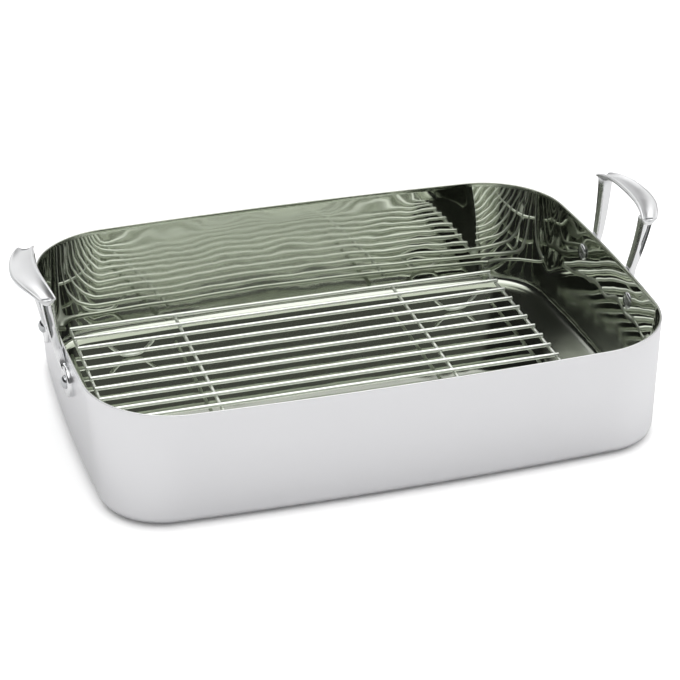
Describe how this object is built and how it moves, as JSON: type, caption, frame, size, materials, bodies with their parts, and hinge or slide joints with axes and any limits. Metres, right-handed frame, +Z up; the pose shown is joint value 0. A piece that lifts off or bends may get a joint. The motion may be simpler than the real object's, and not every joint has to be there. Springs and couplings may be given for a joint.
{
  "type": "roasting pan with rack",
  "caption": "Deep rectangular steel roasting pan with rounded corners, upright riveted loop handles at its ends and a flat wire rack that lifts out.",
  "frame": {"origin": "middle of the underside of the tray's base, on the surface that the pan stands on", "axes": "+X along the tray towards the right handle, +Y to the long side opposite the viewer in the picture, +Z up"},
  "size_m": [0.4748, 0.3006, 0.1367],
  "materials": {
    "tray_steel": "satin outside, mirror polished inside",
    "handle_steel": "polished casting",
    "rivet_steel": "polished",
    "rack_chrome": "bright plated wire"
  },
  "bodies": {
    "pan": {"tray": "tray_steel", "left_handle": "handle_steel", "right_handle": "handle_steel", "rivet_left_front": "rivet_steel", "rivet_left_back": "rivet_steel", "rivet_right_front": "rivet_steel", "rivet_right_back": "rivet_steel"},
    "rack": {"rack_bar_01": "rack_chrome", "rack_bar_02": "rack_chrome", "rack_bar_03": "rack_chrome", "rack_bar_04": "rack_chrome", "rack_bar_05": "rack_chrome", "rack_bar_06": "rack_chrome", "rack_bar_07": "rack_chrome", "rack_bar_08": "rack_chrome", "rack_bar_09": "rack_chrome", "rack_bar_10": "rack_chrome", "rack_bar_11": "rack_chrome", "rack_bar_12": "rack_chrome", "rack_bar_13": "rack_chrome", "rack_bar_14": "rack_chrome", "rack_bar_15": "rack_chrome", "rack_bar_16": "rack_chrome", "rack_bar_17": "rack_chrome", "rack_end_wire_left": "rack_chrome", "rack_cross_wire_left": "rack_chrome", "rack_cross_wire_right": "rack_chrome", "rack_end_wire_right": "rack_chrome", "rack_foot_back_left": "rack_chrome", "rack_foot_back_right": "rack_chrome", "rack_foot_front_left": "rack_chrome", "rack_foot_front_right": "rack_chrome"}
  },
  "joints": [
    {"name": "rack_lift", "type": "slide", "parent": "pan", "child": "rack", "axis": [0, 0, 1], "range_m": [0, 0.15]}
  ]
}
